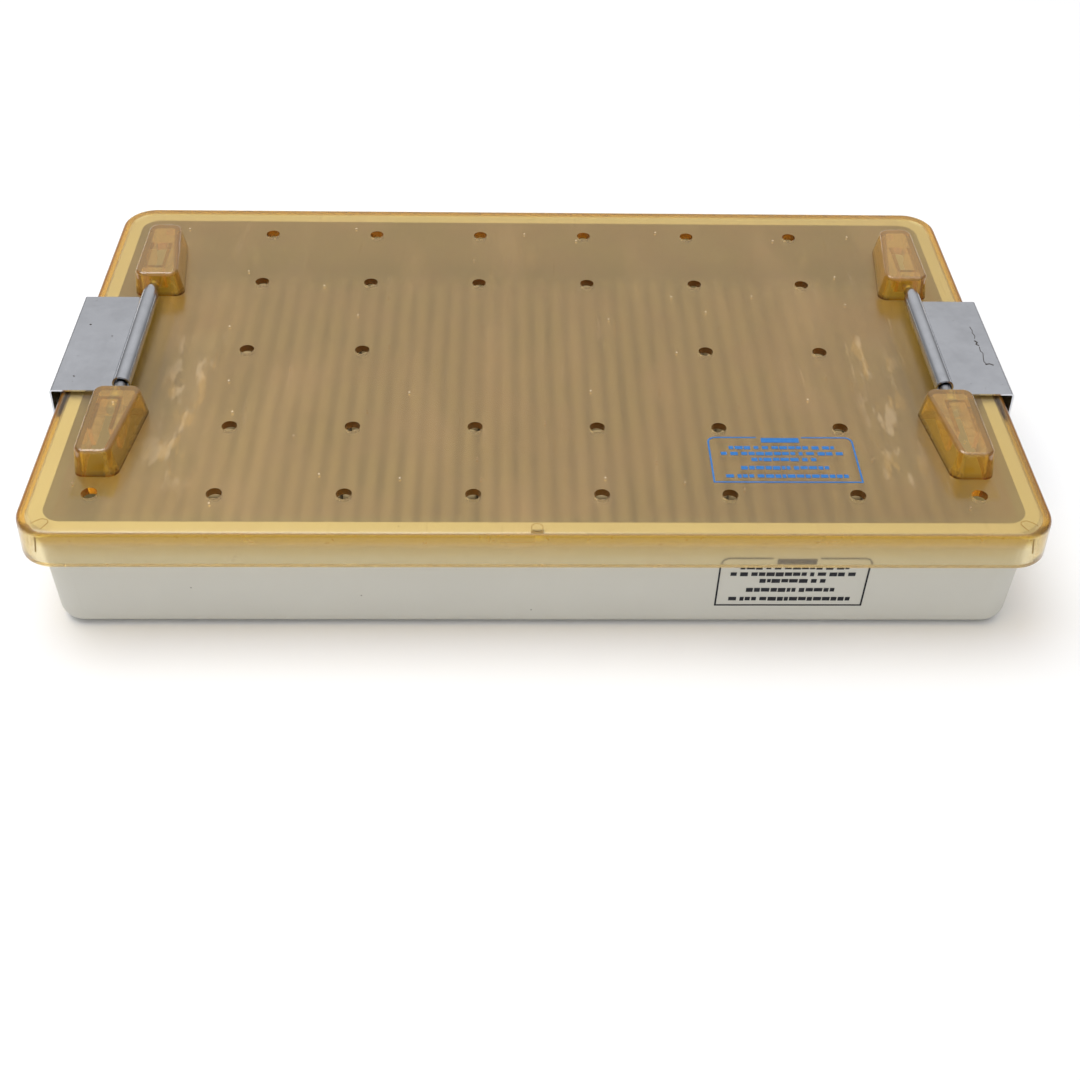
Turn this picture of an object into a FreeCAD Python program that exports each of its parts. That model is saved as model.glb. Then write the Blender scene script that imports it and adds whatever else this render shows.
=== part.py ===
import FreeCAD, Part
import math
import os

# Instrument sterilising tray: an opaque base with a clear lid, held shut by two sheet-metal latches.
# +Z is up and +X runs along the long side. The origin is the middle of the base's underside.
# All sizes are in millimetres.

V = FreeCAD.Vector
UP = V(0, 0, 1)
ALONG = V(0, 1, 0)

# ---- driving dimensions -------------------------------------------------------------------------
TRAY_HEIGHT = 36.0            # underside of the base to the lid's flat top, closed

# lid
LID_HALF_X = 127.0            # at the top face
LID_HALF_Y = 75.7
LID_CORNER_R = 9.2
LID_DRAFT = 0.66              # how far the skirt's foot stands out from its top
LID_WALL = 2.0
LID_TOP = 2.0                 # thickness of the top plate
LID_SKIRT = 10.2              # depth of the skirt below the top face
LID_EDGE_R = 1.5
VENT_R = 2.0
VENT_PITCH_X = 32.0
VENT_COLUMNS = 6
VENT_ROWS_Y = (-60.8, -34.1, 0.0, 34.1, 60.8)
MIDDLE_ROW_GAP = (2, 3)       # columns with no vent in the middle row
CORNER_VENT_X = 110.6

# base
BASE_HALF_X = 123.6           # outer wall just below its lip
BASE_HALF_Y = 72.4
BASE_CORNER_R = 7.6
BASE_DRAFT = 0.6
BASE_WALL = 2.5
FLOOR = 2.5
BASE_FOOT_R = 4.5             # rounding between wall and underside
CAVITY_FOOT_R = 3.0
LIP_OVERHANG = 0.95
LIP_HEIGHT = 3.0
LIP_GAP = 0.2                 # under the lid, all round except at the rest pads
REST_PAD_HALF_Y = 16.0        # raised part of the lip at each end, which carries the lid
DRAIN_R = 2.5
DRAIN_COLUMNS = 8
DRAIN_ROWS = 4
DRAIN_PITCH = 28.0
RIB_X = (-88.0, 0.0, 88.0)    # short ribs on the long walls, inside
RIB_SIZE = (1.4, 1.0, 6.0)
RIB_FOOT_Z = 18.2
NOTCH = (3.0, 0.9, 1.2)       # moulded notch in the lip, middle of each long side

# catch that each latch hooks under
CATCH_REACH = 3.0
CATCH_THICK = 1.5
CATCH_LENGTH = 52.0
CATCH_TOP_DROP = 10.7         # below the lid's top face

# bosses that carry the latch rods
BOSS_HEIGHT = 7.5
BOSS_WALL = 1.6
BOSS_NEAR_Y = 26.1            # face that the rod leaves
BOSS_FAR_Y = 54.8
BOSS_OUTER_X = 116.0
BOSS_NEAR_X = 101.4           # inner side at the rod's end; the boss narrows away from it
BOSS_FAR_X = 104.9
BOSS_DRAFT = 1.1
BOSS_FACE_DRAFT = 0.3         # share of that draft on the face that the rod leaves
BOSS_CORNER_R = 2.6
BOSS_EDGE_R = 0.9
SOCKET_WALL = 1.1
SOCKET_HALF_X = 3.2
SOCKET_NEAR_Y = 30.6
SOCKET_FAR_Y = 44.0
SOCKET_DROP = 5.4             # how far the socket ribs hang below the boss's ceiling

# rods and latches
ROD_X = 110.1
ROD_RISE = 3.0                # rod centre above the lid's top face
ROD_R = 1.5
ROD_HALF_LENGTH = 33.0
ROD_CHAMFER = 0.3
SHEET = 0.45
CURL_INNER_R = 1.95
CURL_END_DEG = -15.0
LATCH_FRONT_Y = -20.5
LATCH_REAR_Y = 24.0
LATCH_REACH = 19.5            # rod centre to the outer bend
FLANGE_LEAN_DEG = 3.0
LIP_TOP_DROP = 16.7           # rod centre down to the hooked lip's upper face
LIP_TIP = 15.25               # rod centre out to the lip's tip
BEND_R = 0.35
TONGUE_HALF_X = 0.5           # width left at the rear end of the curl
TONGUE_LENGTH = 2.0           # how far the end tapers on the side away from the plate
RELIEF_DEPTH = 3.2            # V-shaped relief between curl and plate
RELIEF_WIDTH = 3.3            # rod centre out to the plate's corner

# finger mat
MAT_HALF_X = 117.2
MAT_HALF_Y = 66.0
MAT_HEIGHT = 15.0
MAT_CORNER_R = 4.0

# ---- derived levels -----------------------------------------------------------------------------
LID_UNDERSIDE = TRAY_HEIGHT - LID_TOP
RIM_TOP = LID_UNDERSIDE - LIP_GAP
SKIRT_FOOT = TRAY_HEIGHT - LID_SKIRT
ROD_Z = TRAY_HEIGHT + ROD_RISE
OVERLAP = 0.5                 # how far joined pieces of one moulding run into each other
MARGIN = 1.0                  # how far a cutting tool runs past the faces it cuts
NEAR = 1e-4                   # tolerance when an edge is picked by its height


def rounded_loop(corners, radius, z):
    """Closed wire at height z through the corners, each rounded to radius."""
    edges = []
    arcs = []
    count = len(corners)
    for i in range(count):
        here = V(corners[i][0], corners[i][1], z)
        before = V(corners[i - 1][0], corners[i - 1][1], z)
        after = V(corners[(i + 1) % count][0], corners[(i + 1) % count][1], z)
        back = (before - here).normalize()
        ahead = (after - here).normalize()
        half = back.getAngle(ahead) / 2
        inward = (back + ahead).normalize()
        centre = here + inward * (radius / math.sin(half))
        run = radius / math.tan(half)
        arcs.append((here + back * run, centre - inward * radius, here + ahead * run))
    for i in range(count):
        start, middle, end = arcs[i]
        edges.append(Part.Arc(start, middle, end).toShape())
        edges.append(Part.makeLine(end, arcs[(i + 1) % count][0]))
    return Part.Wire(edges)


def rectangle(half_x, half_y):
    return [(-half_x, -half_y), (half_x, -half_y), (half_x, half_y), (-half_x, half_y)]


def tapered_block(low, low_r, low_z, high, high_r, high_z):
    """Solid between a rounded outline at low_z and one at high_z."""
    loops = [rounded_loop(low, low_r, low_z), rounded_loop(high, high_r, high_z)]
    return Part.makeLoft(loops, True, True)


def edges_at(shape, z):
    return [e for e in shape.Edges if abs(e.BoundBox.ZMin - z) < NEAR and abs(e.BoundBox.ZMax - z) < NEAR]


def block(low, high):
    return Part.makeBox(high[0] - low[0], high[1] - low[1], high[2] - low[2], V(*low))


def drill(radius, x, y, low_z, high_z):
    return Part.makeCylinder(radius, high_z - low_z, V(x, y, low_z), UP)


def mirror_x(shape):
    return shape.mirror(V(0, 0, 0), V(1, 0, 0))


def mirror_y(shape):
    return shape.mirror(V(0, 0, 0), ALONG)


def spaced(count, pitch):
    return [(i - (count - 1) / 2) * pitch for i in range(count)]


def make_base():
    foot = rectangle(BASE_HALF_X - BASE_DRAFT, BASE_HALF_Y - BASE_DRAFT)
    shoulder = rectangle(BASE_HALF_X, BASE_HALF_Y)
    lip_foot = LID_UNDERSIDE - LIP_HEIGHT
    wall = tapered_block(foot, BASE_CORNER_R - BASE_DRAFT, 0, shoulder, BASE_CORNER_R, RIM_TOP)
    wall = wall.makeFillet(BASE_FOOT_R, edges_at(wall, 0))
    lip = rectangle(BASE_HALF_X + LIP_OVERHANG, BASE_HALF_Y + LIP_OVERHANG)
    lip_r = BASE_CORNER_R + LIP_OVERHANG
    wall = wall.fuse(tapered_block(lip, lip_r, lip_foot, lip, lip_r, RIM_TOP))

    inner_foot = rectangle(BASE_HALF_X - BASE_DRAFT - BASE_WALL, BASE_HALF_Y - BASE_DRAFT - BASE_WALL)
    inner_top = rectangle(BASE_HALF_X - BASE_WALL, BASE_HALF_Y - BASE_WALL)
    inner_r = BASE_CORNER_R - BASE_WALL
    cavity = tapered_block(inner_foot, inner_r - BASE_DRAFT, FLOOR, inner_top, inner_r, RIM_TOP)
    cavity = cavity.makeFillet(CAVITY_FOOT_R, edges_at(cavity, FLOOR))
    wall = wall.cut(cavity)

    pad = block((BASE_HALF_X - BASE_WALL, -REST_PAD_HALF_Y, RIM_TOP - OVERLAP),
                (BASE_HALF_X + LIP_OVERHANG, REST_PAD_HALF_Y, LID_UNDERSIDE))
    wall = wall.fuse([pad, mirror_x(pad)])

    catch_top = TRAY_HEIGHT - CATCH_TOP_DROP
    catch = block((BASE_HALF_X - BASE_WALL / 2, -CATCH_LENGTH / 2, catch_top - CATCH_THICK),
                  (BASE_HALF_X + CATCH_REACH, CATCH_LENGTH / 2, catch_top))
    wall = wall.fuse([catch, mirror_x(catch)])

    rib_face = BASE_HALF_Y - BASE_WALL - BASE_DRAFT / 2 - RIB_SIZE[1]
    for x in RIB_X:
        rib = block((x - RIB_SIZE[0] / 2, rib_face, RIB_FOOT_Z),
                    (x + RIB_SIZE[0] / 2, rib_face + RIB_SIZE[1] + OVERLAP, RIB_FOOT_Z + RIB_SIZE[2]))
        wall = wall.fuse([rib, mirror_y(rib)])

    lip_y = BASE_HALF_Y + LIP_OVERHANG
    notch = block((-NOTCH[0] / 2, lip_y - NOTCH[1], LID_UNDERSIDE - NOTCH[2]),
                  (NOTCH[0] / 2, lip_y + MARGIN, LID_UNDERSIDE + MARGIN))
    cuts = [notch, mirror_y(notch)]
    for x in spaced(DRAIN_COLUMNS, DRAIN_PITCH):
        for y in spaced(DRAIN_ROWS, DRAIN_PITCH):
            cuts.append(drill(DRAIN_R, x, y, -MARGIN, FLOOR + MARGIN))
    return wall.cut(cuts).removeSplitter()


def boss_outline(inset, shrink):
    """Plan of one boss, on the +X +Y corner of the lid, moved in by inset and by shrink all round."""
    step = inset + shrink
    near = BOSS_NEAR_Y + shrink + inset * BOSS_FACE_DRAFT
    return [(BOSS_NEAR_X + step, near), (BOSS_OUTER_X - step, near),
            (BOSS_OUTER_X - step, BOSS_FAR_Y - step), (BOSS_FAR_X + step, BOSS_FAR_Y - step)]


def make_boss_parts():
    """One boss: its outside, its hollow and the rod socket's ribs inside it."""
    top = TRAY_HEIGHT + BOSS_HEIGHT
    ceiling = top - BOSS_WALL
    low_z = TRAY_HEIGHT - OVERLAP
    outside = tapered_block(boss_outline(0, 0), BOSS_CORNER_R, low_z,
                            boss_outline(BOSS_DRAFT, 0), BOSS_CORNER_R, top)
    outside = outside.makeFillet(BOSS_EDGE_R, edges_at(outside, top))
    inner_r = BOSS_CORNER_R - BOSS_WALL
    hollow = tapered_block(boss_outline(0, BOSS_WALL), inner_r, LID_UNDERSIDE - MARGIN,
                           boss_outline(BOSS_DRAFT, BOSS_WALL), inner_r, ceiling)
    low = ceiling - SOCKET_DROP
    high = ceiling + OVERLAP
    left = ROD_X - SOCKET_HALF_X
    right = ROD_X + SOCKET_HALF_X
    ribs = block((left, SOCKET_NEAR_Y, low), (right, SOCKET_NEAR_Y + SOCKET_WALL, high))
    ribs = ribs.fuse([block((left, SOCKET_NEAR_Y, low), (left + SOCKET_WALL, SOCKET_FAR_Y, high)),
                      block((right - SOCKET_WALL, SOCKET_NEAR_Y, low), (right, SOCKET_FAR_Y, high))])
    return outside, hollow, ribs


def all_corners(shape):
    pair = [shape, mirror_x(shape)]
    return pair + [mirror_y(s) for s in pair]


def make_lid():
    top = rectangle(LID_HALF_X, LID_HALF_Y)
    foot = rectangle(LID_HALF_X + LID_DRAFT, LID_HALF_Y + LID_DRAFT)
    shell = tapered_block(foot, LID_CORNER_R + LID_DRAFT, SKIRT_FOOT, top, LID_CORNER_R, TRAY_HEIGHT)
    shell = shell.makeFillet(LID_EDGE_R, edges_at(shell, TRAY_HEIGHT))
    inner_r = LID_CORNER_R - LID_WALL
    inner_top = rectangle(LID_HALF_X - LID_WALL, LID_HALF_Y - LID_WALL)
    inner_foot = rectangle(LID_HALF_X - LID_WALL + LID_DRAFT, LID_HALF_Y - LID_WALL + LID_DRAFT)
    inside = tapered_block(inner_foot, inner_r + LID_DRAFT, SKIRT_FOOT, inner_top, inner_r, LID_UNDERSIDE)
    shell = shell.cut(inside)

    outside, hollow, ribs = make_boss_parts()
    shell = shell.fuse(all_corners(outside)).cut(all_corners(hollow)).fuse(all_corners(ribs))

    cuts = []
    for row, y in enumerate(VENT_ROWS_Y):
        for column, x in enumerate(spaced(VENT_COLUMNS, VENT_PITCH_X)):
            if row == len(VENT_ROWS_Y) // 2 and column in MIDDLE_ROW_GAP:
                continue
            cuts.append(drill(VENT_R, x, y, LID_UNDERSIDE - MARGIN, TRAY_HEIGHT + MARGIN))
    for x in (-CORNER_VENT_X, CORNER_VENT_X):
        for y in (VENT_ROWS_Y[0], VENT_ROWS_Y[-1]):
            cuts.append(drill(VENT_R, x, y, LID_UNDERSIDE - MARGIN, TRAY_HEIGHT + MARGIN))
        cuts.append(Part.makeCylinder(ROD_R, 2 * ROD_HALF_LENGTH,
                                      V(math.copysign(ROD_X, x), -ROD_HALF_LENGTH, ROD_Z), ALONG))
    return shell.cut(cuts).removeSplitter()


def make_rod():
    rod = Part.makeCylinder(ROD_R, 2 * ROD_HALF_LENGTH, V(ROD_X, -ROD_HALF_LENGTH, ROD_Z), ALONG)
    rims = [e for e in rod.Edges if isinstance(e.Curve, Part.Circle)]
    return rod.makeChamfer(ROD_CHAMFER, rims)


def make_latch():
    """The +X latch: a curl round the rod, a flat plate, a flange and a lip turned in at its foot."""
    outer_r = CURL_INNER_R + SHEET
    lean = math.tan(math.radians(FLANGE_LEAN_DEG))
    across = SHEET / math.cos(math.radians(FLANGE_LEAN_DEG))

    def at(u, w):
        return V(ROD_X + u, LATCH_FRONT_Y, ROD_Z + w)

    def on_curl(radius, degrees):
        turn = math.radians(degrees)
        return at(radius * math.cos(turn), radius * math.sin(turn))

    def flange_out(w):
        return LATCH_REACH + lean * (-CURL_INNER_R - w)

    lip_foot = -LIP_TOP_DROP - SHEET
    outline = [at(0, -outer_r), at(flange_out(-outer_r) - across, -outer_r),
               at(flange_out(-LIP_TOP_DROP) - across, -LIP_TOP_DROP), at(LIP_TIP, -LIP_TOP_DROP),
               at(LIP_TIP, lip_foot), at(flange_out(lip_foot), lip_foot),
               at(LATCH_REACH, -CURL_INNER_R), at(0, -CURL_INNER_R)]
    edges = [Part.makeLine(a, b) for a, b in zip(outline, outline[1:])]
    middle_deg = (270 + CURL_END_DEG) / 2
    inner_end = on_curl(CURL_INNER_R, CURL_END_DEG)
    outer_end = on_curl(outer_r, CURL_END_DEG)
    edges.append(Part.Arc(outline[-1], on_curl(CURL_INNER_R, middle_deg), inner_end).toShape())
    edges.append(Part.makeLine(inner_end, outer_end))
    edges.append(Part.Arc(outer_end, on_curl(outer_r, middle_deg), outline[0]).toShape())
    latch = Part.Face(Part.Wire(edges)).extrude(ALONG * (LATCH_REAR_Y - LATCH_FRONT_Y))

    def bend_edges(points):
        found = []
        for edge in latch.Edges:
            box = edge.BoundBox
            if box.YLength < LATCH_REAR_Y - LATCH_FRONT_Y - NEAR:
                continue
            for point in points:
                if abs(box.XMin - point.x) < NEAR and abs(box.ZMin - point.z) < NEAR:
                    found.append(edge)
        return found

    latch = latch.makeFillet(BEND_R, bend_edges([outline[1], outline[2]]))
    latch = latch.makeFillet(BEND_R + SHEET, bend_edges([outline[5], outline[6]]))
    return latch.cut(rear_cuts(outer_r))


def rear_cuts(outer_r):
    """Cutters that taper the curl's rear end to a tongue and part it from the plate by a relief."""
    rear = LATCH_REAR_Y + MARGIN
    foot = ROD_Z - outer_r - MARGIN
    taper = outer_r - TONGUE_HALF_X
    over = MARGIN * taper / TONGUE_LENGTH
    away = [(-TONGUE_HALF_X + over, rear), (-outer_r - over, rear),
            (-outer_r - over, LATCH_REAR_Y - TONGUE_LENGTH * (taper + over) / taper)]
    relief = [(TONGUE_HALF_X, rear), (TONGUE_HALF_X, LATCH_REAR_Y),
              (outer_r, LATCH_REAR_Y - RELIEF_DEPTH), (RELIEF_WIDTH, LATCH_REAR_Y), (RELIEF_WIDTH, rear)]
    cutters = []
    for outline in (away, relief):
        points = [V(ROD_X + u, y, foot) for u, y in outline]
        wire = Part.makePolygon(points + points[:1])
        cutters.append(Part.Face(wire).extrude(UP * (2 * (outer_r + MARGIN))))
    return cutters


def make_mat():
    outline = rectangle(MAT_HALF_X, MAT_HALF_Y)
    return tapered_block(outline, MAT_CORNER_R, FLOOR, outline, MAT_CORNER_R, FLOOR + MAT_HEIGHT)


right_rod = make_rod()
right_latch = make_latch()
nodes = {
    "base_tray": make_base(),
    "finger_mat": make_mat(),
    "lid": make_lid(),
    "right_latch_rod": right_rod,
    "left_latch_rod": mirror_x(right_rod),
    "right_latch": right_latch,
    "left_latch": mirror_x(right_latch),
}

os.makedirs("parts", exist_ok=True)
for name, shape in nodes.items():
    print(name, "solids", len(shape.Solids), "valid", shape.isValid(), "volume", round(shape.Volume, 1))
    shape.exportStep("parts/" + name + ".step")
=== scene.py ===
import math
import random

import bmesh
import bpy
from mathutils import Matrix, Vector


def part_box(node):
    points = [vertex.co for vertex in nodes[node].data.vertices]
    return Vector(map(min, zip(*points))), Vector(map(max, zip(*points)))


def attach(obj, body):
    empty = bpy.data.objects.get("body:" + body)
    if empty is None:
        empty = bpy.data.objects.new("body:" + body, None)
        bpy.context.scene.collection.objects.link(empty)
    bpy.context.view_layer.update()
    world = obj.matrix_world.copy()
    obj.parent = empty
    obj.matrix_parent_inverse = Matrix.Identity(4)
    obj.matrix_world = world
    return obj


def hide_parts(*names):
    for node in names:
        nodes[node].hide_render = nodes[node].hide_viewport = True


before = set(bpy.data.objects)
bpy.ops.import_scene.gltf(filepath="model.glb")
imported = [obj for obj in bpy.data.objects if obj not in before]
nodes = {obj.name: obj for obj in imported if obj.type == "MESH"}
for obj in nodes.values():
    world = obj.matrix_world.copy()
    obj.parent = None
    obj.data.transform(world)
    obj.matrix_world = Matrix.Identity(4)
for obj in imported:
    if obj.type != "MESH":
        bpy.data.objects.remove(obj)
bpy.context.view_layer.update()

# Looks for the instrument sterilising tray. Everything is in metres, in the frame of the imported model:
# X along the tray, Y from its front to its back, Z up from its underside.

MM = 0.001
base_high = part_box("base_tray")[1]
lid_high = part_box("lid")[1]
mat_low, mat_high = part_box("finger_mat")

# ---- lid ----------------------------------------------------------------------------------------
BOSS_HEIGHT = 7.5 * MM
LID_TOP_Z = lid_high.z - BOSS_HEIGHT
SKIRT_SPREAD = 0.66 * MM         # how far the skirt's foot stands out past the top face
SKIRT_DEPTH = 10.2 * MM
CORNER_R = 9.2 * MM              # rounding of the top face's corners
CORNER_X = lid_high.x - SKIRT_SPREAD - CORNER_R
CORNER_Y = lid_high.y - SKIRT_SPREAD - CORNER_R

# Where the lid's parts fade in (from, to), in mm from its top face (Z) or its outer edge (X and Y).
BOSS_ABOVE = (0.1, 0.9)
BAND_X = (-10, -9)               # the clear band round the plate
BAND_Y = (-8, -7)
RIM_X = (-2.6, -1.4)             # the rounded outer edge
RIM_Y = (-1.6, -0.9)
RIM_Z = (-5.0, -1.6)
# Painted light: the vents beyond this are tinted orange, as if lit from the base beside them.
LIT_CORNER_VENT_X = (104, 106)       # from the lid's middle; the outermost vents lie beyond this

# Patches on the plate, the same at both ends, in mm: x from, x to, y from, y to, softness.
WORN_STRIP = (88, 99, -58, 8, 4)
# Painted reflection: deeper gold where the bosses and the rod are mirrored in the plate and keep off its
# pale haze.
REFLECTION_PATCHES = ((104.5, 115.5, -62, -53, 0.6),      # in front of the front boss
                (101, 109, 19.5, 27, 0.6),          # in front of the rear boss
                (102.5, 112, -26, 20, 1.2))         # along the rod

# Colours of the clear amber plastic, blended over one another in this order.
PLATE_TINTS = (0.985, 0.95, 0.88), (1.0, 0.92, 0.915)
# Painted light: the lid is paler over the band round the plate, standing in for the brightly lit lip of the
# base beneath it.
BAND_LIGHT_TINT = (1.0, 1.0, 0.96)
PART_TINTS = (("skirt", (0.955, 0.94, 0.89)),
              ("boss", (1.0, 0.96, 0.84)),
              # Painted light and shade from here on: deeper gold where the bosses and rod are mirrored,
              # bright gold boss walls, a dark gold rounded edge with darker orange-brown sides, dark brown
              # vent walls and orange outermost vents.
              ("painted_reflection", (0.98, 0.86, 0.44)),
              ("lit_boss_wall", (1.0, 0.86, 0.30)),
              ("shaded_rim", (0.98, 0.80, 0.12)),
              ("shaded_rim_side", (0.70, 0.45, 0.14)),
              ("shaded_vent_wall", (0.24, 0.13, 0.035)),
              ("lit_corner_vent", (0.80, 0.45, 0.07)))
PLATE_ROUGHNESS = (0.19, 0.25)
GLOSSY_SHARE = 0.15              # roughness of bosses, vents and rim, as a share of the plate's
CLEAR_LIGHT = (1.0, 0.965, 0.90, 1.0)
DEPTH_COLOUR = (0.90, 0.72, 0.03, 1.0)
DEPTH_DENSITY = 270.0

# The dull film on the plastic, wear all over and painted light and shade on the boss walls, the rounded edge
# and its sides: its colours, and how much more of it some parts have.
PLATE_FILM = (0.74, 0.50, 0.29)
PART_FILMS = (("boss", (1.0, 0.66, 0.15)),
              # Painted light and shade in the next three: bright gold on the boss walls, dark gold on the
              # rounded edge, dark orange-brown on its sides.
              ("lit_boss_wall", (1.0, 0.62, 0.07)),
              ("shaded_rim", (0.56, 0.31, 0.015)),
              ("shaded_rim_side", (0.24, 0.09, 0.005)),
              ("worn_strip", (0.92, 0.70, 0.44)))
EXTRA_FILM = (("boss", 0.07), ("lit_boss_wall", 0.10), ("shaded_rim", 0.38), ("shaded_rim_side", 0.22))
SPECKS = (0.16, 0.09, 0.04), (0.88, 0.74, 0.55)          # dark ones and pale ones

# ---- the other materials: two tones each, mottled together ---------------------------------------
BASE_TONES = (0.61, 0.60, 0.54), (0.66, 0.65, 0.585)
BASE_SPECK = (0.30, 0.29, 0.25)
# Painted highlight on the ribs inside the long walls.
BASE_RIB_HIGHLIGHT = (0.98, 0.95, 0.86)
SILICONE_TONES = (0.30, 0.27, 0.25), (0.37, 0.33, 0.30)
LATCH_TONE = (0.66, 0.675, 0.72)
ROD_TONE = (0.50, 0.50, 0.52)
STEEL_SMUDGE = 0.90              # how dark a smudge is, as a share of the sheet's tone
STEEL_PIT = (0.16, 0.13, 0.11)
GRAIN_ALONG_Y = (2600, 120, 2600)
GRAIN_ROUND_ROD = (120, 2600, 120)
LID_INK = (0.025, 0.16, 0.46), (0.09, 0.24, 0.48)
BASE_INK = (0.006, 0.007, 0.012), (0.03, 0.03, 0.035)
MARK_INK = (0.30, 0.19, 0.06), (0.42, 0.28, 0.10)
SCRATCH_INK = (0.05, 0.045, 0.04), (0.12, 0.11, 0.10)
FLOOR_WHITE = (0.92, 0.92, 0.93, 1.0)

# ---- painted highlights on the ribs inside the base's long walls, in mm (from, to) ----------------
RIB_SPACING = 88
RIB_HALF_WIDTH = (0.9, 1.1)
RIB_OUT = (68.0, 68.5), (70.6, 71.0)         # nearest to and farthest from the middle, along Y
RIB_UP = (16.8, 17.2), (21.6, 22.4)

# ---- finger mat -----------------------------------------------------------------------------------
MAT_INSET = 0.4 * MM
MAT_LIFT = 0.05 * MM
MAT_CORNER = 4 * MM
MAT_SHEET = 2.2 * MM
MAT_BORDER = 4.0 * MM            # bare edge of the sheet, outside the fingers
# The sheet's rolled edge, from below: (inset, height) in mm.
MAT_EDGE = ((0.6, 0.0), (0.1, 0.25), (0.0, 0.7), (0.0, 1.6), (0.2, 2.0), (0.7, 2.2))
FINGER_PITCH_X = 5.2 * MM
FINGER_PITCH_Y = 3.7 * MM
FINGER_HALF_X = 2.42 * MM
FINGER_HALF_Y = 1.72 * MM
FINGER_SIDES = 12
FINGER_FOOT = 0.3 * MM           # how far a finger starts inside the sheet
FINGER_GAP = 0.15 * MM           # from a fingertip to the top of the CAD solid
FINGER_LEAN = 0.12 * MM
# A finger's outline from foot to tip: (share of its height, share of its width).
FINGER_LEVELS = ((0.0, 1.05), (0.06, 1.0), (0.50, 0.97), (0.92, 0.93), (0.98, 0.80), (1.0, 0.50))

# ---- printed panels -------------------------------------------------------------------------------
PRINT_LIFTS = (0.02 * MM, 0.07 * MM)         # lower and upper face, above the surface it lies on
PANEL_WIDTH = 38.0 * MM
PANEL_HEIGHT = 18.2 * MM
PANEL_LINE = 0.45 * MM
PANEL_CORNER = 2.2 * MM
LID_PANEL_X = 63.3 * MM
LID_PANEL_FOOT_Y = -56.2 * MM
BASE_PANEL_X = 64.5 * MM
BASE_PANEL_FOOT_Z = 8.0 * MM
WALL_FOOT_Y = -71.8 * MM         # the base's front wall, at the table and at its top
WALL_TOP_Y = -72.4 * MM
FRAME_GAP = (-0.32, 0.30)        # the frame's top line is open here, as shares of half the width
# The header bar: half its length as a share of half the width, its lower and upper edge below the top.
HEADER = (0.26, 2.3 * MM, 0.4 * MM)
# Rows of blocks, from the top: (share of the panel's height, share of its width, thickness in mm).
BLOCK_ROWS = ((0.76, 0.72, 1.25), (0.63, 0.84, 1.25), (0.50, 0.44, 1.25), (0.32, 0.60, 1.3),
              (0.14, 0.82, 1.3))
BLOCK_LENGTHS = (0.9, 2.2)       # mm
BLOCK_GAPS = (0.25, 0.3, 0.35, 0.9)          # mm; the last is a gap between two groups
BLOCK_DESCENTS = (0.42, 0.58)    # how far a block reaches below its row's middle, in thicknesses
SHORTEST_BLOCK = 0.5 * MM

# ---- small marks, in mm ---------------------------------------------------------------------------
GATE_MARK_X = -0.3
GATE_MARK_Y = -73.0
GATE_RING = (1.5, 0.16)          # radius, width of its line
GATE_BAR = (1.5, -1.95, -1.1)    # half length, front and back edge
CORNER_LOOP = ((122.2, -72.0), (121.1, -70.9), (119.8, -70.2), (118.4, -70.7), (118.1, -71.5),
               (118.8, -72.9), (119.4, -73.9))
CORNER_LOOP_WIDTH = 0.24
CORNER_GROOVE = ((0.5, 34.6), (0.3, 33.0), (0.0, 31.4), (-0.3, 29.8))        # round the corner, up
CORNER_GROOVE_WIDTH = 0.42
CORNER_GROOVE_TURN = 69.0        # degrees round the corner
PLATE_TOP_Z = LID_TOP_Z + 1.05 * MM          # upper face of a latch plate
# Scratches on each latch plate, laid out for the +X latch: (points, width).
RIGHT_SCRATCHES = (
    (((124.9, 11.2), (125.2, 9.2), (124.9, 8.4), (125.3, 6.6), (124.9, 5.4)), 0.2),
    (((124.6, 4.4), (125.2, 3.6), (124.7, 2.6), (125.4, 2.0)), 0.5),
    (((125.3, 1.4), (125.1, -0.6), (125.6, -1.6), (125.2, -3.6), (124.9, -5.6), (125.4, -7.0)), 0.22),
    (((125.0, -7.0), (126.2, -6.6), (127.2, -7.3)), 0.45))
LEFT_SCRATCHES = (
    (((125.3, 10.2), (124.8, 9.9)), 0.5),
    (((118.0, 4.6), (117.8, 4.3)), 0.35),
    (((124.5, -14.0), (124.2, -14.5)), 0.35))

# ---- camera and stage -----------------------------------------------------------------------------
CAMERA_FROM_LID = Vector((-7.8, -326.7, 233.4)) * MM     # from the middle of the lid's top face
CAMERA_DOWN_DEG = 43.1
CAMERA_YAW_DEG = -1.86
CAMERA_ROLL_DEG = 1.38
CAMERA_LENS = 47.5
CAMERA_SENSOR = 36.0
FLOOR_HALF = 3.0
BACKDROP_LEVEL = 0.85            # how pale the wall behind the floor looks in low views
KEY_PLACE = (-0.35, 0.10, 1.15)
KEY_SIZE = 0.9
KEY_WATTS = 7.6


def mm_from(start, distances):
    """The places that lie the given distances in mm from the start."""
    return [start + distance * MM for distance in distances]


# ---- node helpers -------------------------------------------------------------------------------
def new_material(name):
    material = bpy.data.materials.new(name)
    material.use_nodes = True
    tree = material.node_tree
    return material, tree, tree.nodes["Principled BSDF"]


def add(tree, kind, **values):
    """A new node; keyword names are attributes, or inputs where the name starts with in_."""
    node = tree.nodes.new(kind)
    for key, value in values.items():
        if key.startswith("in_"):
            node.inputs[key[3:].replace("_", " ")].default_value = value
        else:
            setattr(node, key, value)
    return node


def feed(tree, socket, value):
    """Links value to the socket if it is a socket itself, or else sets it."""
    if isinstance(value, bpy.types.NodeSocket):
        tree.links.new(value, socket)
    else:
        socket.default_value = value


def coordinates(tree, scale):
    """Object coordinates multiplied by scale (x, y, z), so that 1000 makes one unit a millimetre."""
    where = add(tree, "ShaderNodeTexCoord")
    mapping = add(tree, "ShaderNodeMapping", in_Scale=scale)
    tree.links.new(where.outputs["Object"], mapping.inputs["Vector"])
    return mapping.outputs["Vector"]


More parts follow.
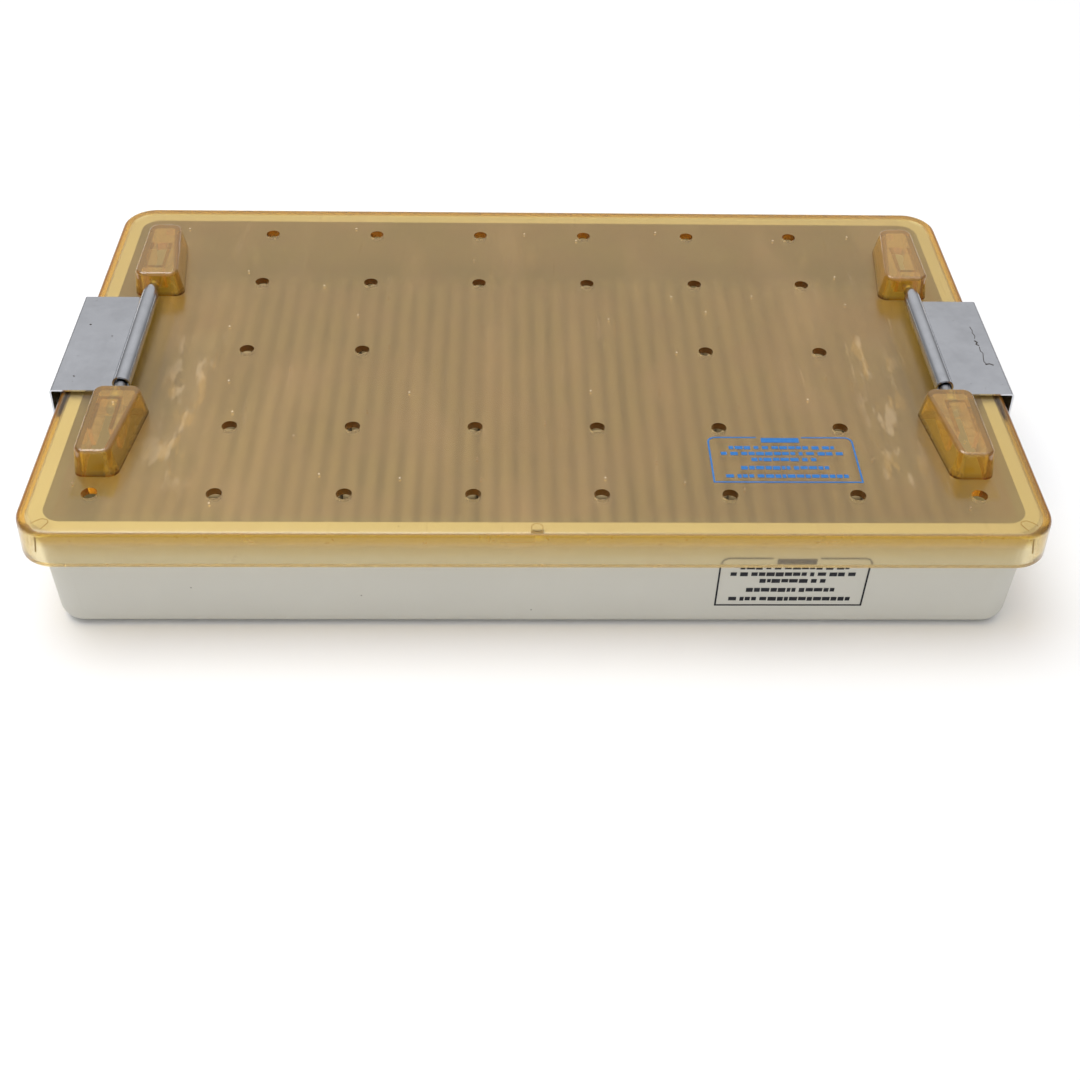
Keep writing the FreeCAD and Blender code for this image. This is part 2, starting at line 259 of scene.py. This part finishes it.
def millimetres(tree):
    """Object coordinates in millimetres."""
    return coordinates(tree, (1000, 1000, 1000))


def split_coordinate(tree, output):
    """The X, Y and Z sockets of one output of the Texture Coordinate node."""
    where = add(tree, "ShaderNodeTexCoord")
    split = add(tree, "ShaderNodeSeparateXYZ")
    tree.links.new(where.outputs[output], split.inputs[0])
    return split.outputs


def noise(tree, vector, scale, detail=4.0, roughness=0.5):
    node = add(tree, "ShaderNodeTexNoise", in_Scale=scale, in_Detail=detail, in_Roughness=roughness)
    tree.links.new(vector, node.inputs["Vector"])
    return node.outputs["Fac"]


def cells(tree, vector, scale, dimensions="3D"):
    node = add(tree, "ShaderNodeTexVoronoi", voronoi_dimensions=dimensions, in_Scale=scale)
    tree.links.new(vector, node.inputs["Vector"])
    return node.outputs


def remap(tree, value, low, high, to_low, to_high, smooth=True):
    node = add(tree, "ShaderNodeMapRange", interpolation_type="SMOOTHSTEP" if smooth else "LINEAR",
               in_From_Min=low, in_From_Max=high, in_To_Min=to_low, in_To_Max=to_high)
    tree.links.new(value, node.inputs["Value"])
    return node.outputs["Result"]


def rise(tree, value, low, high):
    """0 below low, 1 above high."""
    return remap(tree, value, low, high, 0.0, 1.0)


def fall(tree, value, low, high):
    """1 below low, 0 above high."""
    return remap(tree, value, low, high, 1.0, 0.0)


def by_mask(tree, mask, outside, inside):
    """A number that goes from outside to inside as the mask goes from 0 to 1."""
    return remap(tree, mask, 0.0, 1.0, outside, inside)


def math_node(tree, operation, first, second=0.0):
    node = add(tree, "ShaderNodeMath", operation=operation)
    feed(tree, node.inputs[0], first)
    feed(tree, node.inputs[1], second)
    return node.outputs[0]


def product(tree, first, second):
    return math_node(tree, "MULTIPLY", first, second)


def total(tree, first, second):
    return math_node(tree, "ADD", first, second)


def larger(tree, first, second):
    return math_node(tree, "MAXIMUM", first, second)


def absolute(tree, value):
    return math_node(tree, "ABSOLUTE", value)


def blend_colour(tree, factor, first, second):
    """Goes from the first colour to the second; a Mix node's colour sockets are 6 and 7, and output 2."""
    node = add(tree, "ShaderNodeMix", data_type="RGBA")
    for socket, colour in ((node.inputs[6], first), (node.inputs[7], second)):
        feed(tree, socket, (*colour, 1.0) if isinstance(colour, tuple) else colour)
    tree.links.new(factor, node.inputs[0])
    return node.outputs[2]


def mix_shaders(tree, factor, first, second):
    node = add(tree, "ShaderNodeMixShader")
    for socket, source in zip(node.inputs, (factor, first, second)):
        tree.links.new(source, socket)
    return node.outputs[0]


def bump(tree, shader, height, strength, distance):
    node = add(tree, "ShaderNodeBump", in_Strength=strength, in_Distance=distance)
    tree.links.new(height, node.inputs["Height"])
    tree.links.new(node.outputs["Normal"], shader.inputs["Normal"])


# ---- the amber lid ------------------------------------------------------------------------------
def plate_patch(tree, across, y, patch):
    """Mask of a soft-edged rectangle on the plate, the same at both ends of the lid."""
    x_low, x_high, y_low, y_high, soft = patch
    spans = []
    for value, low, high in ((across, x_low, x_high), (y, y_low, y_high)):
        spans.append(product(tree, rise(tree, value, (low - soft) * MM, (low + soft) * MM),
                             fall(tree, value, (high - soft) * MM, (high + soft) * MM)))
    return product(tree, *spans)


def lid_masks(tree):
    """Where a point of the lid lies: for each named part, a socket that is 1 on it and 0 elsewhere."""
    place = split_coordinate(tree, "Object")
    facing = split_coordinate(tree, "Normal")
    across = absolute(tree, place["X"])
    along = absolute(tree, place["Y"])
    upright = fall(tree, absolute(tree, facing["Z"]), 0.3, 0.8)
    masks = {}
    masks["boss"] = rise(tree, place["Z"], *mm_from(LID_TOP_Z, BOSS_ABOVE))
    # Painted light: the boss walls are tinted and filmed bright gold, standing in for light carried along
    # inside the amber.
    masks["lit_boss_wall"] = product(tree, masks["boss"], upright)
    masks["inner"] = product(tree, fall(tree, across, *mm_from(lid_high.x, BAND_X)),
                             fall(tree, along, *mm_from(lid_high.y, BAND_Y)))
    low_wall = math_node(tree, "SUBTRACT", upright, masks["lit_boss_wall"])
    # Painted shade: the vent walls are tinted dark brown, as where little light comes through.
    masks["shaded_vent_wall"] = product(tree, low_wall, masks["inner"])
    # Painted light: the outermost vents turn orange, as if lit.
    masks["lit_corner_vent"] = product(tree, masks["shaded_vent_wall"], rise(tree, across, *mm_from(0, LIT_CORNER_VENT_X)))
    masks["skirt"] = product(tree, upright, by_mask(tree, masks["inner"], 1.0, 0.0))
    side = rise(tree, across, *mm_from(lid_high.x, RIM_X))
    end = rise(tree, along, *mm_from(lid_high.y, RIM_Y))
    top = rise(tree, place["Z"], *mm_from(LID_TOP_Z, RIM_Z))
    # Painted shade: the rounded outer edge gets a dark gold tint and film, its sides a darker orange-brown.
    masks["shaded_rim"] = product(tree, larger(tree, side, end), top)
    masks["shaded_rim_side"] = product(tree, side, top)
    masks["worn_strip"] = plate_patch(tree, across, place["Y"], WORN_STRIP)
    # Painted reflection of the bosses and rod on the plate, kept off the bosses themselves.
    reflection = plate_patch(tree, across, place["Y"], REFLECTION_PATCHES[0])
    for patch in REFLECTION_PATCHES[1:]:
        reflection = larger(tree, reflection, plate_patch(tree, across, place["Y"], patch))
    masks["painted_reflection"] = product(tree, reflection, by_mask(tree, masks["boss"], 1.0, 0.0))
    return masks


def clear_amber(tree, shader, masks, mm):
    """The clear plastic itself: tinted part by part, with painted light and shade among the tints; softly
    rough plate, glossy bosses, vents and rounded edge.
    """
    shader.inputs["Transmission Weight"].default_value = 1.0
    shader.inputs["IOR"].default_value = 1.56
    shader.inputs["Coat Roughness"].default_value = 0.02
    coated = larger(tree, masks["boss"], masks["shaded_rim"])
    tree.links.new(by_mask(tree, coated, 0.3, 1.0), shader.inputs["Coat Weight"])
    haze = noise(tree, mm, 0.05, 5.0, 0.6)
    glossy = larger(tree, larger(tree, masks["boss"], masks["shaded_vent_wall"]), masks["shaded_rim"])
    rough = product(tree, remap(tree, haze, 0.35, 0.75, *PLATE_ROUGHNESS),
                    by_mask(tree, glossy, 1.0, GLOSSY_SHARE))
    tree.links.new(rough, shader.inputs["Roughness"])
    tint = blend_colour(tree, rise(tree, haze, 0.35, 0.65), *PLATE_TINTS)
    # Painted light: paler over the band round the plate.
    tint = blend_colour(tree, masks["inner"], BAND_LIGHT_TINT, tint)
    for part, colour in PART_TINTS:
        tint = blend_colour(tree, masks[part], tint, colour)
    tree.links.new(tint, shader.inputs["Base Color"])
    ripple = noise(tree, mm, 0.02, 1.0, 0.3)
    bump(tree, shader, ripple, 0.15, 0.8 * MM)


def wear_and_shade_film(tree, masks, mm):
    """The dull film of smears, hairlines, scuffs and specks, with painted light and shade on the boss walls
    and the rounded edge: its shader, and how much of it shows.
    """
    smear = noise(tree, coordinates(tree, (60, 18, 60)), 1.0, 3.0)
    hairline = noise(tree, coordinates(tree, (1100, 90, 1100)), 0.5, 2.0)
    scuff = noise(tree, coordinates(tree, (220, 60, 220)), 1.0, 3.0, 0.6)
    share = total(tree, remap(tree, smear, 0.45, 0.80, 0.03, 0.09),
                  remap(tree, hairline, 0.66, 0.80, 0.0, 0.10))
    share = total(tree, share, product(tree, masks["worn_strip"], remap(tree, scuff, 0.53, 0.62, 0.0, 0.17)))
    share = product(tree, share, by_mask(tree, masks["boss"], 1.0, 0.6))
    for part, more in EXTRA_FILM:
        share = total(tree, share, by_mask(tree, masks[part], 0.0, more))
    share = product(tree, share, by_mask(tree, masks["shaded_vent_wall"], 1.0, 0.0))
    colour = PLATE_FILM
    for part, part_colour in PART_FILMS:
        colour = blend_colour(tree, masks[part], colour, part_colour)

    cell = cells(tree, mm, 0.04, "2D")
    speck = product(tree, remap(tree, cell["Distance"], 0.009, 0.015, 0.65, 0.0), masks["inner"])
    pick = add(tree, "ShaderNodeSeparateColor")
    tree.links.new(cell["Color"], pick.inputs[0])
    speck_colour = blend_colour(tree, rise(tree, pick.outputs[0], 0.45, 0.55), *SPECKS)
    film = add(tree, "ShaderNodeBsdfPrincipled", in_Roughness=0.5)
    tree.links.new(blend_colour(tree, speck, colour, speck_colour), film.inputs["Base Color"])
    return film.outputs[0], larger(tree, share, speck)


def amber_plastic():
    """Clear amber moulding under a film of wear and painted light and shade, darker with depth.

    Shadow and diffuse rays go straight through, so that the inside is lit as under a clear lid.
    """
    material, tree, shader = new_material("amber_plastic")
    mm = millimetres(tree)
    masks = lid_masks(tree)
    clear_amber(tree, shader, masks, mm)
    film, share = wear_and_shade_film(tree, masks, mm)
    surface = mix_shaders(tree, share, shader.outputs[0], film)
    path = add(tree, "ShaderNodeLightPath")
    straight = larger(tree, path.outputs["Is Shadow Ray"], path.outputs["Is Diffuse Ray"])
    through = add(tree, "ShaderNodeBsdfTransparent", in_Color=CLEAR_LIGHT)
    surface = mix_shaders(tree, straight, surface, through.outputs[0])
    depth = add(tree, "ShaderNodeVolumeAbsorption", in_Color=DEPTH_COLOUR, in_Density=DEPTH_DENSITY)
    output = tree.nodes["Material Output"]
    tree.links.new(surface, output.inputs["Surface"])
    tree.links.new(depth.outputs[0], output.inputs["Volume"])
    return material


# ---- the other materials ------------------------------------------------------------------------
def rib_highlight_mask(tree):
    """1 where a highlight is painted on the short ribs inside the long walls."""
    place = split_coordinate(tree, "Object")
    across = absolute(tree, place["X"])
    along = absolute(tree, place["Y"])
    from_outer_rib = absolute(tree, math_node(tree, "SUBTRACT", across, RIB_SPACING * MM))
    nearest = math_node(tree, "MINIMUM", across, from_outer_rib)
    mask = fall(tree, nearest, *mm_from(0, RIB_HALF_WIDTH))
    for value, (start, stop) in ((along, RIB_OUT), (place["Z"], RIB_UP)):
        span = product(tree, rise(tree, value, *mm_from(0, start)), fall(tree, value, *mm_from(0, stop)))
        mask = product(tree, mask, span)
    return mask


def base_plastic():
    """Off-white moulding: fine satin grain, slight mottling, a few specks, and a painted highlight on the
    ribs inside the long walls.
    """
    material, tree, shader = new_material("base_plastic")
    mm = millimetres(tree)
    mottle = noise(tree, mm, 0.05)
    colour = blend_colour(tree, mottle, *BASE_TONES)
    speck = fall(tree, cells(tree, mm, 0.11)["Distance"], 0.018, 0.032)
    colour = blend_colour(tree, speck, colour, BASE_SPECK)
    # Painted highlight on the ribs inside the long walls.
    colour = blend_colour(tree, rib_highlight_mask(tree), colour, BASE_RIB_HIGHLIGHT)
    tree.links.new(colour, shader.inputs["Base Color"])
    tree.links.new(remap(tree, mottle, 0.3, 0.7, 0.40, 0.52), shader.inputs["Roughness"])
    bump(tree, shader, noise(tree, mm, 2.2, 3.0), 0.12, 0.1 * MM)
    return material


def sheet_steel(name, grain, tone):
    """Rolled stainless steel: directional grain, small pits and smudges."""
    material, tree, shader = new_material(name)
    shader.inputs["Metallic"].default_value = 1.0
    shader.inputs["Anisotropic"].default_value = 0.5
    mm = millimetres(tree)
    lines = noise(tree, coordinates(tree, grain), 1.0, 6.0, 0.6)
    smudge = noise(tree, mm, 0.12, 4.0, 0.6)
    dark = tuple(channel * STEEL_SMUDGE for channel in tone)
    colour = blend_colour(tree, rise(tree, smudge, 0.35, 0.7), tone, dark)
    pit = remap(tree, cells(tree, mm, 0.35)["Distance"], 0.03, 0.06, 0.75, 0.0)
    colour = blend_colour(tree, pit, colour, STEEL_PIT)
    tree.links.new(colour, shader.inputs["Base Color"])
    rough = total(tree, remap(tree, lines, 0.3, 0.75, 0.15, 0.20), remap(tree, smudge, 0.5, 0.8, 0.0, 0.05))
    tree.links.new(rough, shader.inputs["Roughness"])
    bump(tree, shader, lines, 0.03, 0.03 * MM)
    return material


def silicone():
    """Soft grey silicone: matt, slightly mottled."""
    material, tree, shader = new_material("silicone")
    mm = millimetres(tree)
    mottle = noise(tree, mm, 0.08)
    tree.links.new(blend_colour(tree, mottle, *SILICONE_TONES), shader.inputs["Base Color"])
    tree.links.new(remap(tree, mottle, 0.3, 0.7, 0.50, 0.64), shader.inputs["Roughness"])
    bump(tree, shader, noise(tree, mm, 3.0, 3.0), 0.15, 0.1 * MM)
    return material


def ink(name, colours):
    """Screen-printed ink, or a thin dark line; it turns to its second colour in patches."""
    material, tree, shader = new_material(name)
    patch = remap(tree, noise(tree, millimetres(tree), 1.6), 0.45, 0.75, 0.0, 0.6)
    tree.links.new(blend_colour(tree, patch, *colours), shader.inputs["Base Color"])
    shader.inputs["Roughness"].default_value = 0.5
    shader.inputs["Specular IOR Level"].default_value = 0.25
    return material


def paint_node(name, material):
    for slot in nodes[name].material_slots:
        slot.material = material


# ---- meshes -------------------------------------------------------------------------------------
def make_object(name, vertices, faces, material, smooth=False):
    mesh = bpy.data.meshes.new(name)
    mesh.from_pydata(vertices, [], faces)
    mesh.materials.append(material)
    mesh.validate()
    work = bmesh.new()
    work.from_mesh(mesh)
    bmesh.ops.recalc_face_normals(work, faces=work.faces)
    work.to_mesh(mesh)
    work.free()
    for polygon in mesh.polygons:
        polygon.use_smooth = smooth
    made = bpy.data.objects.new(name, mesh)
    bpy.context.scene.collection.objects.link(made)
    return made


class Shell:
    """Gathers closed solids into one mesh."""

    def __init__(self):
        self.vertices = []
        self.faces = []

    def stack(self, rings):
        """A solid made of rings of equal count, one on the other, closed at both ends."""
        first = len(self.vertices)
        count = len(rings[0])
        for ring in rings:
            self.vertices.extend(ring)
        for level in range(len(rings) - 1):
            low = first + level * count
            for i in range(count):
                j = (i + 1) % count
                self.faces.append((low + i, low + j, low + count + j, low + count + i))
        self.faces.append(tuple(first + i for i in reversed(range(count))))
        last = first + (len(rings) - 1) * count
        self.faces.append(tuple(last + i for i in range(count)))

    def piece(self, name, material, body, smooth=False):
        """The gathered solids as one object that rides on the body."""
        made = make_object(name, self.vertices, self.faces, material, smooth)
        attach(made, body)
        return made


def rounded_outline(half_x, half_y, radius, steps=6):
    points = []
    for sx, sy, start in ((1, 1, 0), (-1, 1, 90), (-1, -1, 180), (1, -1, 270)):
        for i in range(steps + 1):
            turn = math.radians(start + 90 * i / steps)
            points.append((sx * (half_x - radius) + radius * math.cos(turn),
                           sy * (half_y - radius) + radius * math.sin(turn)))
    return points


def full_turn(steps):
    return [2 * math.pi * i / steps for i in range(steps)]


# ---- finger mat ---------------------------------------------------------------------------------
def fuller(value):
    """Pushes a sine or cosine outwards, so that a round outline turns into a rounded square."""
    return math.copysign(abs(value) ** 0.75, value)


def finger(x, y, lean_x, lean_y, foot, tip):
    """Rings of one finger: straight sides, a rounded tip, and a slight lean that grows upwards."""
    rings = []
    for share, width in FINGER_LEVELS:
        centre_x = x + lean_x * share * share
        centre_y = y + lean_y * share * share
        z = foot + (tip - foot) * share
        rings.append([(centre_x + FINGER_HALF_X * width * fuller(math.cos(t)),
                       centre_y + FINGER_HALF_Y * width * fuller(math.sin(t)), z)
                      for t in full_turn(FINGER_SIDES)])
    return rings


def build_mat(material):
    """Silicone mat: a sheet with a rolled edge and rows of tapering round-tipped fingers."""
    draw = random.Random(7)
    shell = Shell()
    half_x = mat_high.x - MAT_INSET
    half_y = mat_high.y - MAT_INSET
    floor = mat_low.z + MAT_LIFT
    rings = []
    for inset, height in MAT_EDGE:
        outline = rounded_outline(half_x - inset * MM, half_y - inset * MM, MAT_CORNER)
        rings.append([(x, y, floor + height * MM) for x, y in outline])
    shell.stack(rings)
    columns = int((2 * (half_x - MAT_BORDER)) / FINGER_PITCH_X) + 1
    rows = int((2 * (half_y - MAT_BORDER)) / FINGER_PITCH_Y) + 1
    foot = floor + MAT_SHEET - FINGER_FOOT
    tip = mat_high.z - FINGER_GAP
    for column in range(columns):
        for row in range(rows):
            x = (column - (columns - 1) / 2) * FINGER_PITCH_X
            y = (row - (rows - 1) / 2) * FINGER_PITCH_Y
            lean_x = draw.uniform(-FINGER_LEAN, FINGER_LEAN)
            lean_y = draw.uniform(-FINGER_LEAN, FINGER_LEAN)
            shell.stack(finger(x, y, lean_x, lean_y, foot, tip))
    mat = shell.piece("finger_mat_detail", material, "base", smooth=True)
    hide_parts("finger_mat")


# ---- thin shapes on a surface; place turns (u, v, lift) into a point ------------------------------
def slab(shell, points, place):
    """Thin solid over a flat outline."""
    shell.stack([[place(u, v, lift) for u, v in points] for lift in PRINT_LIFTS])


def bar(shell, left, right, low, high, place):
    slab(shell, [(left, low), (right, low), (right, high), (left, high)], place)


def stroke(shell, points, width, place):
    """Thin solid ribbon along points (u, v): one four-cornered cross-section at each point."""
    low, high = PRINT_LIFTS
    sections = []
    for i, point in enumerate(points):
        before = Vector(points[max(i - 1, 0)])
        after = Vector(points[min(i + 1, len(points) - 1)])
        run = (after - before).normalized()
        side = Vector((-run.y, run.x)) * width / 2
        left = Vector(point) + side
        right = Vector(point) - side
        sections.append([place(*left, low), place(*right, low), place(*right, high), place(*left, high)])
    shell.stack(sections)


def flat_ring(shell, radius, width, place, steps=24):
    """Thin solid ring."""
    first = len(shell.vertices)
    turns = full_turn(steps)
    for size in (radius, radius - width):
        for lift in PRINT_LIFTS:
            shell.vertices.extend(place(size * math.cos(t), size * math.sin(t), lift) for t in turns)
    for i in range(steps):
        j = (i + 1) % steps
        for a, b in ((0, 1), (1, 3), (3, 2), (2, 0)):
            low = first + a * steps
            high = first + b * steps
            shell.faces.append((low + i, low + j, high + j, high + i))


# ---- printed panels -----------------------------------------------------------------------------
def panel_frame(shell, half, place):
    """The panel's outline, with rounded top corners and an open stretch at the top for the header."""
    shoulder = PANEL_HEIGHT - PANEL_CORNER
    bar(shell, -half, half, 0, PANEL_LINE, place)
    bar(shell, -half, -half + PANEL_LINE, PANEL_LINE, shoulder, place)
    bar(shell, half - PANEL_LINE, half, PANEL_LINE, shoulder, place)
    top = PANEL_HEIGHT - PANEL_LINE
    bar(shell, -half + PANEL_CORNER, half * FRAME_GAP[0], top, PANEL_HEIGHT, place)
    bar(shell, half * FRAME_GAP[1], half - PANEL_CORNER, top, PANEL_HEIGHT, place)
    steps = 6
    arc = [math.radians(90 * i / steps) for i in range(steps + 1)]
    for side in (-1, 1):
        outline = []
        for radius, turns in ((PANEL_CORNER, arc), (PANEL_CORNER - PANEL_LINE, arc[::-1])):
            outline += [(side * (half - PANEL_CORNER) + side * radius * math.cos(t),
                         shoulder + radius * math.sin(t)) for t in turns]
        slab(shell, outline, place)


def panel_rows(shell, half, place):
    """Rows of plain blocks where words would be."""
    draw = random.Random(3)
    for share, length, thick in BLOCK_ROWS:
        middle = PANEL_HEIGHT * share
        left = -half * length
        while left < half * length - SHORTEST_BLOCK:
            right = min(left + draw.uniform(*BLOCK_LENGTHS) * MM, half * length)
            low = middle - thick * draw.uniform(*BLOCK_DESCENTS) * MM
            bar(shell, left, right, low, middle + thick * MM / 2, place)
            left = right + draw.choice(BLOCK_GAPS) * MM


def printed_panel(name, material, body, place):
    """A generic printed panel: a frame, a plain header bar and rows of blocks."""
    shell = Shell()
    half = PANEL_WIDTH / 2
    panel_frame(shell, half, place)
    share, low, high = HEADER
    bar(shell, -half * share, half * share, PANEL_HEIGHT - low, PANEL_HEIGHT - high, place)
    panel_rows(shell, half, place)
    shell.piece(name, material, body)


def on_lid_panel(u, v, lift):
    return (LID_PANEL_X + u, LID_PANEL_FOOT_Y + v, LID_TOP_Z + lift)


def on_front_wall(u, v, lift):
    z = BASE_PANEL_FOOT_Z + v
    y = WALL_FOOT_Y + (WALL_TOP_Y - WALL_FOOT_Y) * z / base_high.z
    return (BASE_PANEL_X + u, y - lift, z)


# ---- small marks --------------------------------------------------------------------------------
def build_gate_mark(material):
    """Moulding mark at the middle of the lid's front edge: a fine ring with a bar at its foot."""
    shell = Shell()

    def place(u, v, lift):
        return (GATE_MARK_X * MM + u, GATE_MARK_Y * MM + v, LID_TOP_Z + lift / 2)

    radius, line = GATE_RING
    flat_ring(shell, radius * MM, line * MM, place)
    half, low, high = GATE_BAR
    bar(shell, -half * MM, half * MM, low * MM, high * MM, place)
    shell.piece("lid_gate_mark", material, "lid")


def build_corner_marks(material):
    """Fine moulding lines at the lid's two front corners: a loop on top and a groove down the skirt."""
    shell = Shell()

    def on_top(u, v, lift):
        return (u, v, LID_TOP_Z + lift / 2)

    for sign in (-1, 1):
        def on_corner(u, v, lift):
            turn = math.radians(CORNER_GROOVE_TURN) + u / CORNER_R
            reach = CORNER_R + SKIRT_SPREAD * (LID_TOP_Z - v) / SKIRT_DEPTH + lift / 2
            return (sign * (CORNER_X + reach * math.cos(turn)), -(CORNER_Y + reach * math.sin(turn)), v)

        stroke(shell, [(sign * x * MM, y * MM) for x, y in CORNER_LOOP], CORNER_LOOP_WIDTH * MM, on_top)
        stroke(shell, [(u * MM, v * MM) for u, v in CORNER_GROOVE], CORNER_GROOVE_WIDTH * MM, on_corner)
    shell.piece("lid_corner_marks", material, "lid")


def build_scratches(name, body, sign, paths, material):
    """Short dark scratches on a latch plate; paths are given for the +X latch, and sign mirrors them."""
    shell = Shell()

    def place(u, v, lift):
        return (sign * u, v, PLATE_TOP_Z + lift / 3)

    for path, width in paths:
        stroke(shell, [(x * MM, y * MM) for x, y in path], width * MM, place)
    shell.piece(name, material, body)


# ---- camera, light and stage --------------------------------------------------------------------
def make_camera():
    data = bpy.data.cameras.new("camera")
    data.lens = CAMERA_LENS
    data.sensor_width = CAMERA_SENSOR
    data.clip_start = 0.01
    camera = bpy.data.objects.new("camera", data)
    turn = Matrix.Rotation(math.radians(CAMERA_YAW_DEG), 4, "Z")
    turn = turn @ Matrix.Rotation(math.radians(90 - CAMERA_DOWN_DEG), 4, "X")
    turn = turn @ Matrix.Rotation(math.radians(CAMERA_ROLL_DEG), 4, "Z")
    middle = Vector((0, 0, LID_TOP_Z))
    camera.matrix_world = Matrix.Translation(middle + CAMERA_FROM_LID) @ turn
    bpy.context.scene.collection.objects.link(camera)
    bpy.context.scene.camera = camera


def make_stage():
    material, _, shader = new_material("stage_floor")
    shader.inputs["Base Color"].default_value = FLOOR_WHITE
    shader.inputs["Roughness"].default_value = 0.8
    shader.inputs["Specular IOR Level"].default_value = 0.1
    corners = [(x * FLOOR_HALF, y * FLOOR_HALF, 0) for x, y in ((-1, -1), (1, -1), (1, 1), (-1, 1))]
    floor = make_object("stage_floor_plane", corners, [(0, 1, 2, 3)], material)


def make_world():
    """Soft studio light: brighter upwards, dimmer to the sides, and a pale wall where the camera sees it."""
    world = bpy.data.worlds.new("studio")
    bpy.context.scene.world = world
    world.use_nodes = True
    tree = world.node_tree
    way = split_coordinate(tree, "Generated")
    slope = remap(tree, way["Z"], 0.0, 1.0, 0.34, 0.80, smooth=False)
    crown = remap(tree, way["Z"], 0.68, 1.0, 0.0, 0.8)
    aside = remap(tree, absolute(tree, way["X"]), 0.35, 0.75, 1.0, 0.45)
    level = total(tree, product(tree, slope, aside), crown)
    path = add(tree, "ShaderNodeLightPath")
    level = larger(tree, level, product(tree, path.outputs["Is Camera Ray"], BACKDROP_LEVEL))
    background = tree.nodes["Background"]
    background.inputs["Color"].default_value = (1.0, 1.0, 1.0, 1.0)
    tree.links.new(level, background.inputs["Strength"])


def make_key_light():
    """A large soft lamp above and a little to the left, aimed at the origin."""
    data = bpy.data.lights.new("key", "AREA")
    data.shape = "RECTANGLE"
    data.size = KEY_SIZE
    data.size_y = KEY_SIZE
    data.energy = KEY_WATTS
    lamp = bpy.data.objects.new("key", data)
    lamp.location = KEY_PLACE
    lamp.rotation_euler = (-Vector(KEY_PLACE)).to_track_quat("-Z", "Y").to_euler()
    bpy.context.scene.collection.objects.link(lamp)


# ---- assembly -----------------------------------------------------------------------------------
make_camera()
make_stage()
make_world()
make_key_light()
bpy.context.scene.view_settings.view_transform = "Standard"

paint_node("lid", amber_plastic())
paint_node("base_tray", base_plastic())
latch_steel = sheet_steel("latch_steel", GRAIN_ALONG_Y, LATCH_TONE)
rod_steel = sheet_steel("rod_steel", GRAIN_ROUND_ROD, ROD_TONE)
for side in ("left", "right"):
    paint_node(side + "_latch", latch_steel)
    paint_node(side + "_latch_rod", rod_steel)
build_mat(silicone())

printed_panel("lid_print", ink("lid_ink", LID_INK), "lid", on_lid_panel)
printed_panel("base_print", ink("base_ink", BASE_INK), "base", on_front_wall)

mark_ink = ink("mould_mark", MARK_INK)
build_gate_mark(mark_ink)
build_corner_marks(mark_ink)
scratch_ink = ink("scratch_dark", SCRATCH_INK)
build_scratches("right_latch_scratch", "latch_right", 1, RIGHT_SCRATCHES, scratch_ink)
build_scratches("left_latch_scratch", "latch_left", -1, LEFT_SCRATCHES, scratch_ink)
